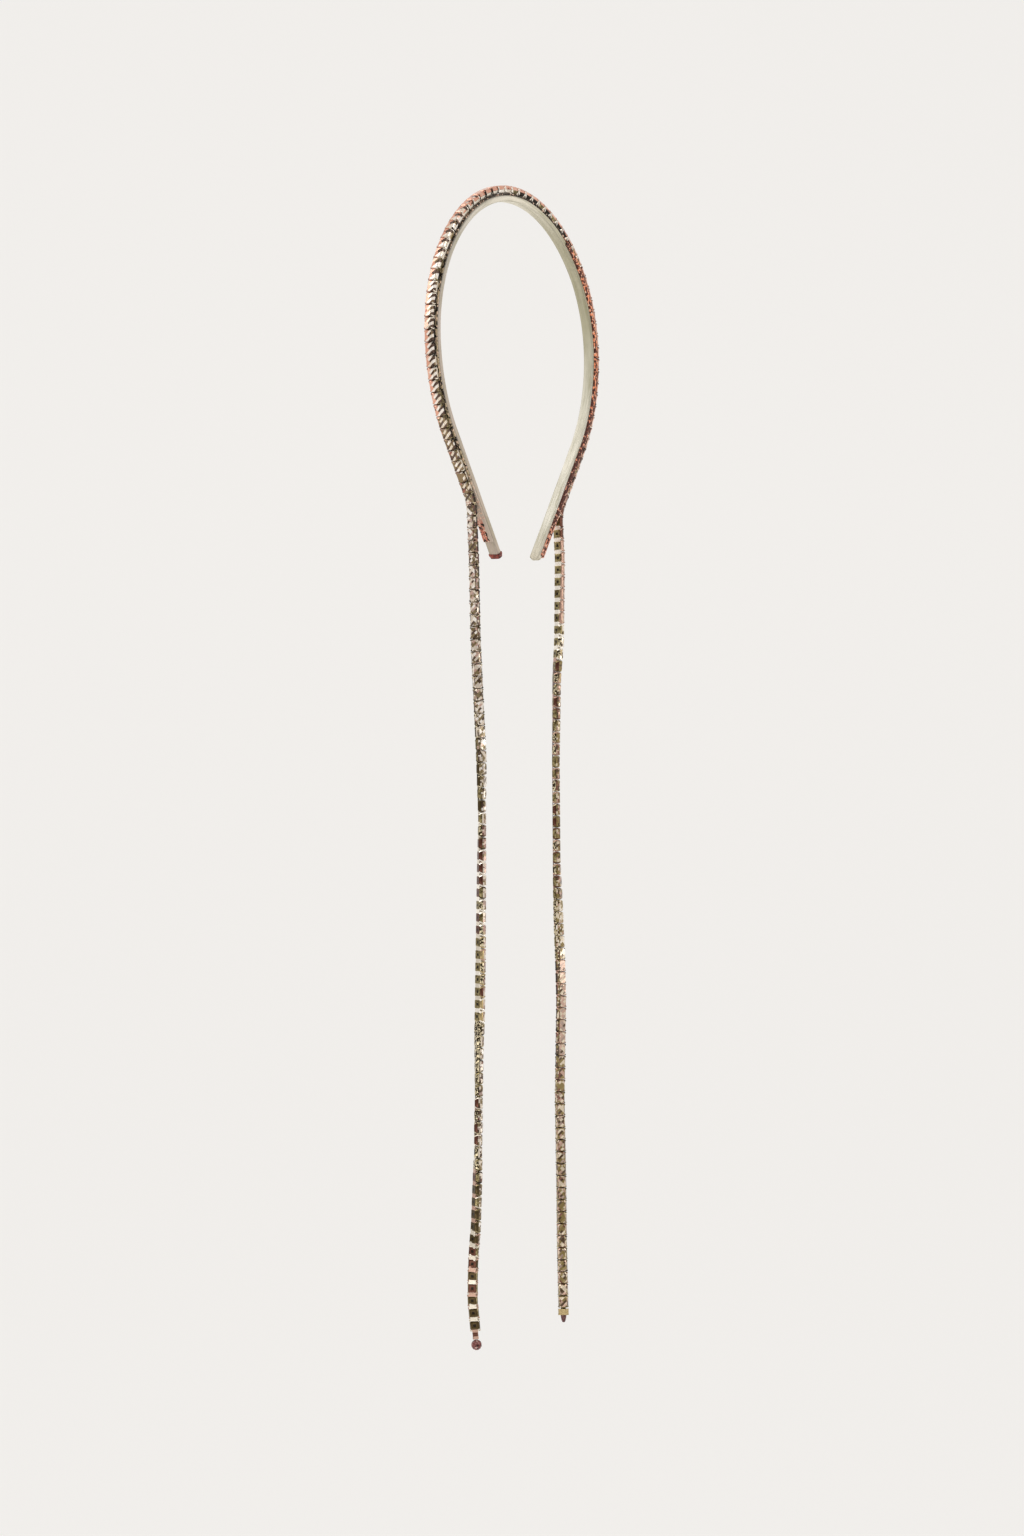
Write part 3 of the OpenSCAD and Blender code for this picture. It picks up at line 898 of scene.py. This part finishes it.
# The crystals
# Square machine-cut glass with cut corners and a foiled back that stands in the cup. Coral on the
# band, pale blush on the left strand and peach on the right one. Each facet has one tone; many of
# them are painted reflections, highlights and shade.
girdle_z = 1.5 * mm
pane_w = 0.88 * mm
facet_tilt = 0.05 * mm
bevel_z = girdle_z + 0.05 * mm
tilt_z = girdle_z + 0.2 * mm
merge_below = 1e-7
# Tones of the crystals. Dark, olive and red are painted shade and dark reflections, cream and white
# painted highlights; body is the glass's colour
DARK, OLIVE, RED, BODY, EDGE, CREAM, WHITE = [(i + 0.5) / 7 for i in range(7)]


def crystal_shape(cross_cuts):
    """A square crystal, its crown cut across by the slanting facets that show through the table."""
    # From the point in the cup up to the table: height, half length, half width and cut corner
    profile = [
        (0.45, 1.0, 1.0, 0.25), (1.5, 1.97, 1.77, 0.5), (1.6, 2.46, 1.98, 0.5),
        (2.3, 2.42, 1.86, 0.5), (2.9, 2.3, 1.56, 0.45), (3.2, 2.0, 1.24, 0.35)]
    points, faces = skin([square_ring(z * mm, l * mm, w * mm, r * mm, 1) for z, l, w, r in profile])
    solid = bmesh.new()
    corners = [solid.verts.new(p) for p in points]
    for face in faces:
        solid.faces.new([corners[k] for k in face])
    for step, cuts in ((1, (-2, -1, 0, 1, 2)), (-1, cross_cuts)):
        for cut in cuts:
            crown = [f for f in solid.faces if min(v.co.z for v in f.verts) > bevel_z]
            touching = {e for f in crown for e in f.edges} | {v for f in crown for v in f.verts}
            bmesh.ops.bisect_plane(solid, geom=crown + list(touching), dist=merge_below,
                                   plane_co=Vector((1.0, step, 0.0)).normalized() * cut * pane_w,
                                   plane_no=(1.0, step, 0.0))
    for corner in solid.verts:
        if corner.co.z > tilt_z:
            pane = (corner.co.x + corner.co.y) / (math.sqrt(2) * pane_w)
            corner.co.z += facet_tilt * math.sin(pane * math.pi / 2)
    solid.verts.index_update()
    shape = Shape()
    facets = [tuple(v.index for v in f.verts) for f in solid.faces]
    shape.add([v.co.copy() for v in solid.verts], facets, BODY)
    solid.free()
    return shape


def crystal_finish(name, colours):
    """Foiled glass in seven tones: its body, its edge, painted shade in dark, olive and red, and
    painted highlights in cream and white.
    """
    finish = Finish(name, {
        "Metallic": 0.3, "IOR": 1.5, "Coat Weight": 0.25, "Coat Roughness": 0.03})
    cloud = finish.grain(finish.place(), scale=1400.0, detail=2.0)
    facet = finish.steps(finish.read("tone"), colours)
    clouded = finish.mix(0.2 * cloud, facet, colour_at(BODY, colours))
    finish.wear("Base Color", clouded)
    finish.wear("Roughness", 0.1 + 0.15 * cloud)
    return finish


low_facet_z = 1.3 * mm
# The painted bars of reflection reach back to this place across a crystal. Past the two runs they
# are narrow, then dull
bars_back = -0.3 * mm
narrow_bars_run = 75 * mm
dull_bars_run = 130 * mm


def band_tone(side, run, middle, pane):
    """A facet's tone on the band: coral, with painted reflections and shade; on the left's front
    they form slanting cream and dark bars.
    """
    front = middle.y if side == LEFT else -middle.y
    if run < crown_run and middle.z < low_facet_z:
        if side == LEFT:
            return pick((CREAM, 4), (WHITE, 2), (DARK, 1))
        return pick((DARK, 5), (CREAM, 1))
    on_side = run > chance.uniform(24 * mm, 44 * mm)
    if side == LEFT and on_side and front > bars_back:
        if middle.z < girdle_z:
            return pick((DARK, 3), (OLIVE, 3), (CREAM, 2))
        bar = pane % 2 if run > narrow_bars_run else (pane + 1) // 2 % 2
        if run > dull_bars_run:
            return pick((CREAM, 4), (WHITE, 2), (OLIVE, 3)) if bar else pick((DARK, 5), (OLIVE, 5))
        return pick((CREAM, 4), (WHITE, 7)) if bar else pick((DARK, 9), (OLIVE, 1))
    if side == LEFT and run > chance.uniform(120 * mm, 140 * mm):
        return pick((EDGE, 2), (OLIVE, 5), (RED, 1), (DARK, 4))
    if side == RIGHT and run > chance.uniform(120 * mm, 140 * mm):
        return pick((BODY, 3), (RED, 3), (EDGE, 4), (DARK, 6))
    if side == RIGHT and on_side:
        return pick((BODY, 14), (RED, 4), (EDGE, 3), (DARK, 1))
    return pick((BODY, 16), (EDGE, 4), (RED, 1))


# Each row is a drop in mm and the tones that a strand's crystals have above it, with the share of
# each: of the facets on their face, and of those on their edge. The dark, olive, red, cream and
# white tones are painted shade and highlights.
stone_rows = {
    LEFT: [
        (40, ((CREAM, 6), (WHITE, 3), (BODY, 3), (EDGE, 2), (OLIVE, 4), (DARK, 6)),
         ((EDGE, 6), (BODY, 2), (RED, 2))),
        (120, ((CREAM, 8), (WHITE, 4), (BODY, 2), (OLIVE, 7), (DARK, 7)),
         ((OLIVE, 3), (DARK, 2), (EDGE, 3))),
        (205, ((CREAM, 5), (EDGE, 3), (BODY, 2), (RED, 1), (OLIVE, 2)),
         ((EDGE, 3), (BODY, 2), (CREAM, 2))),
        (999, ((CREAM, 7), (WHITE, 2), (EDGE, 2), (OLIVE, 6), (DARK, 6), (RED, 1)),
         ((EDGE, 3), (OLIVE, 3), (DARK, 1)))],
    RIGHT: [
        (9, ((RED, 6), (EDGE, 2), (DARK, 2)), ((RED, 6), (DARK, 1))),
        (44, ((BODY, 5), (EDGE, 3), (CREAM, 2), (RED, 1)), ((BODY, 4), (EDGE, 3), (CREAM, 1))),
        (57, ((CREAM, 5), (WHITE, 5), (OLIVE, 2), (DARK, 4)), ((EDGE, 4), (BODY, 3))),
        (157, ((OLIVE, 6), (BODY, 2), (CREAM, 2), (DARK, 4), (RED, 2)),
         ((OLIVE, 3), (RED, 4), (EDGE, 1))),
        (182, ((CREAM, 5), (WHITE, 2), (OLIVE, 5), (BODY, 1), (DARK, 1)), ((OLIVE, 3), (EDGE, 3))),
        (224, ((BODY, 6), (EDGE, 2), (CREAM, 4), (DARK, 1)), ((BODY, 3), (DARK, 2))),
        (999, ((CREAM, 4), (OLIVE, 8), (DARK, 5), (BODY, 3), (EDGE, 2), (RED, 2)),
         ((EDGE, 3), (OLIVE, 3), (RED, 1)))]}
# The drops in mm between which the front edges of a strand's crystals are painted dark, as shade
shaded_front = {LEFT: (-10, 48), RIGHT: (180, 236)}
front_edge = 1.1 * mm
edge_z = girdle_z + 0.15 * mm


def strand_tone(side, run, middle, pane):
    """A facet's tone on a strand: duller edges, painted shade on some front edges, and small facets
    of painted highlight and shade on its face.
    """
    face, edge = at_drop(stone_rows, side, run)
    front = middle.y if side == LEFT else -middle.y
    drop = (run - hang_start) / mm
    shaded_from, shaded_to = shaded_front[side]
    if front > front_edge and shaded_from < drop < shaded_to:
        return pick((DARK, 4), (RED, 2), (OLIVE, 3), (CREAM, 2))
    return pick(*(edge if middle.z < edge_z else face))


def stones(name, row, cross_cuts, tone_of, finish, node):
    """The joined crystals of a row of (side, number) on the chain."""
    crystal = crystal_shape(cross_cuts)
    middles = [crystal.middle(face) for face in crystal.faces]
    slant = math.sqrt(2) * pane_w
    facets = [(middle, math.floor((middle.x + middle.y) / slant)) for middle in middles]
    joined = Shape()
    for side, number in row:
        run = (number + 0.5) * pitch
        tones = [tone_of(side, run, middle, pane) for middle, pane in facets]
        joined.add_at(on_chain(side, number + 0.5), crystal, tones)
    joined.piece(name, finish, node, smooth_below=1.0)


band_row = [(side, i) for side in (LEFT, RIGHT) for i in range(band_stones)]
stones("band_stones", band_row, (0,), band_tone, crystal_finish("Coral crystal", [
    "2c200c", "7e6e48", "8c4a37", "e3a68c", "ecbfa8", "eadfca", "fdf8ee"]),
    "band_crystals")
left_row = [(LEFT, i) for i in range(band_stones, last_stone + 1)]
stones("left_stones", left_row, (-1.5, 0, 1.5), strand_tone, crystal_finish("Blush crystal", [
    "3e2e1c", "7e6f48", "6e443a", "ccab9c", "ae978c", "e6dac8", "fbf5ec"]),
    "left_strand_crystals")
right_row = [(RIGHT, i) for i in range(band_stones, last_stone + 1)]
stones("right_stones", right_row, (-1.5, 0, 1.5), strand_tone, crystal_finish("Peach crystal", [
    "45351a", "8c7b45", "7a4a3a", "cdab98", "b09a8c", "e8dac0", "fbf3e4"]),
    "right_strand_crystals")

# The drops at the strands' ends
# A round rose crystal below the left strand's tongue, and a small garnet point under the collar of
# the right one. Both are cut in flat facets.
left_drop_d = 4.4 * mm
right_drop_h = 3.8 * mm - collar_over
right_drop_d = 2.6 * mm
point_d = 1.0 * mm
ball_lift = 1.0 * mm
point_lift = 1.3 * mm


def cut_rings(levels, count):
    """A faceted body of rings along X from (x, radius) levels, each turned half a facet."""
    rings = []
    for i, (x, r) in enumerate(levels):
        turned = math.pi / count * (i % 2)
        angles = [math.tau * k / count + turned for k in range(count)]
        rings.append([Vector((x, r * math.cos(a), r * math.sin(a))) for a in angles])
    points = [p for ring in rings for p in ring]
    faces = []
    for i in range(len(rings) - 1):
        for k in range(count):
            n = (k + 1) % count
            low, high = i * count, (i + 1) * count
            if i % 2 == 0:
                faces += [(low + k, low + n, high + k), (low + n, high + n, high + k)]
            else:
                faces += [(low + k, high + n, high + k), (low + k, low + n, high + n)]
    last = (len(rings) - 1) * count
    return points, faces + [tuple(range(count - 1, -1, -1)), tuple(range(last, last + count))]


def end_drop(name, levels, count, lift, place, finish, node):
    """A cut crystal at the end of a strand, with a tone for each of its facets, some of them
    painted shade and highlights.
    """
    points, faces = cut_rings(levels, count)
    placed = [place @ (p + Vector((0.0, 0.0, lift))) for p in points]
    made = make_piece(name, placed, faces, finish, smooth=False)
    shares = ((DARK, 1), (RED, 2), (BODY, 5), (EDGE, 2), (CREAM, 1))
    mark(made, "tone", [pick(*shares) for face in faces], "FACE")
    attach(made, "root")
    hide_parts(node)


ball_r = left_drop_d / 2
ball_x = wall_x + tongue_run + gap + ball_r
ball_levels = [(ball_x - ball_r * math.cos(math.radians(a)), ball_r * math.sin(math.radians(a)))
               for a in (16, 38, 62, 86, 110, 136, 162)]
end_drop("rose_ball", ball_levels, 10, ball_lift, on_chain(LEFT, last_stone + 0.5),
         crystal_finish("Rose crystal", [
             "26120e", "4a3228", "5a2420", "7c4440", "9a6c68", "c8aca2", "f3e8de"]),
         "left_end_drop")
point_x = collar_end + gap
point_r = right_drop_d / 2
point_levels = [(point_x + share * right_drop_h, r) for share, r in (
    (0.0, point_r), (0.3, 0.92 * point_r), (0.7, 0.7 * point_r), (1.0, point_d / 2))]
end_drop("garnet_point", point_levels, 8, point_lift, on_chain(RIGHT, last_stone + 0.5),
         crystal_finish("Garnet crystal", [
             "1f0e0c", "4a382e", "4a2020", "583030", "6f4a46", "988078", "d8ccc0"]),
         "right_end_drop")

# The studio
# A pale seamless sweep behind and under the headband, soft light from above and both sides, and
# dark cards beside the camera for the metal and the crystals to reflect.
paper_grey = "f0eeec"
paper_under = "8a8986"
floor_z = -0.75
floor_near = -2.6
wall_back = 1.4
wall_top = 2.2
sweep_r = 0.7
paper_half = 3.0
camera_turn = math.radians(-56.3)
camera_place = (-1.4668, -0.9792, -0.2321)
camera_lens = 100.7
towards = Vector((math.sin(-camera_turn), math.cos(camera_turn), 0.0))
aside = Vector((towards.y, -towards.x, 0.0))


def paper_finish():
    """Matt paper that glows a little, so that it keeps the same pale tone all over."""
    finish = Finish("Pale paper", {
        "Roughness": 0.9, "Specular IOR Level": 0.1, "Emission Strength": 0.765})
    finish.wear("Base Color", shade(paper_under))
    finish.wear("Emission Color", shade(paper_grey))
    return finish


def studio_place(ahead, across, height):
    """A place in the studio, by how far it is ahead of and beside the camera's line of sight."""
    return ahead * towards + across * aside + Vector((0.0, 0.0, height))


bend_start = wall_back - sweep_r
bend = [math.radians(a) for a in range(10, 91, 10)]
sweep = [(floor_near, floor_z), (bend_start, floor_z)]
sweep += [(bend_start + sweep_r * math.sin(a), floor_z + sweep_r * (1 - math.cos(a))) for a in bend]
sweep += [(wall_back, wall_top)]
paper_points = [studio_place(d, w, z) for w in (-paper_half, paper_half) for d, z in sweep]
paper_faces = [(i, i + 1, i + 1 + len(sweep), i + len(sweep)) for i in range(len(sweep) - 1)]
paper = make_piece("paper_sweep", paper_points, paper_faces, paper_finish())


def soft_light(name, place, size, power, colour):
    """A rectangle of soft light that is aimed at the middle of the headband."""
    light = bpy.data.lights.new(name, "AREA")
    light.shape = "RECTANGLE"
    light.size, light.size_y = size
    light.energy = power
    light.color = colour
    made = bpy.data.objects.new(name, light)
    made.location = place
    bpy.context.scene.collection.objects.link(made)
    aimed = Vector((0.0, 0.0, -0.2)) - made.location
    made.rotation_euler = aimed.to_track_quat("-Z", "Y").to_euler()


soft_light("key light", studio_place(-0.5, -0.9, 0.7), (0.8, 1.1), 9.0, (1.0, 0.97, 0.93))
soft_light("side light", studio_place(-0.3, 1.1, 0.1), (0.4, 1.2), 5.0, (1.0, 0.96, 0.92))
soft_light("low light", studio_place(-0.9, -0.3, -0.7), (0.8, 0.3), 2.5, (1.0, 0.98, 0.95))


def card_finish():
    """Matt dark card."""
    finish = Finish("Dark card", {"Roughness": 0.9, "Specular IOR Level": 0.1})
    finish.wear("Base Color", shade("1a1816"))
    return finish


dark_card = card_finish()
card_half_h = 0.7
for name, side, near, width in (("card_near", 0.25, -2.2, 0.5), ("card_aside", -0.75, -1.6, 0.3)):
    middle = studio_place(near, side, -0.1)
    corners = [middle + aside * w * width + Vector((0.0, 0.0, h * card_half_h))
               for w, h in ((-1, -1), (1, -1), (1, 1), (-1, 1))]
    make_piece(name, corners, [(0, 1, 2, 3)], dark_card)

world = bpy.data.worlds.new("Studio")
world.use_nodes = True
world.node_tree.nodes["Background"].inputs["Color"].default_value = shade(paper_grey)
world.node_tree.nodes["Background"].inputs["Strength"].default_value = 0.6
bpy.context.scene.world = world
bpy.context.scene.view_settings.view_transform = "Standard"

lens = bpy.data.cameras.new("camera")
lens.lens = camera_lens
lens.sensor_width = 36.0
lens.clip_start = 0.05
camera = bpy.data.objects.new("camera", lens)
camera.location = camera_place
camera.rotation_euler = (math.pi / 2, 0.0, camera_turn)
bpy.context.scene.collection.objects.link(camera)
bpy.context.scene.camera = camera
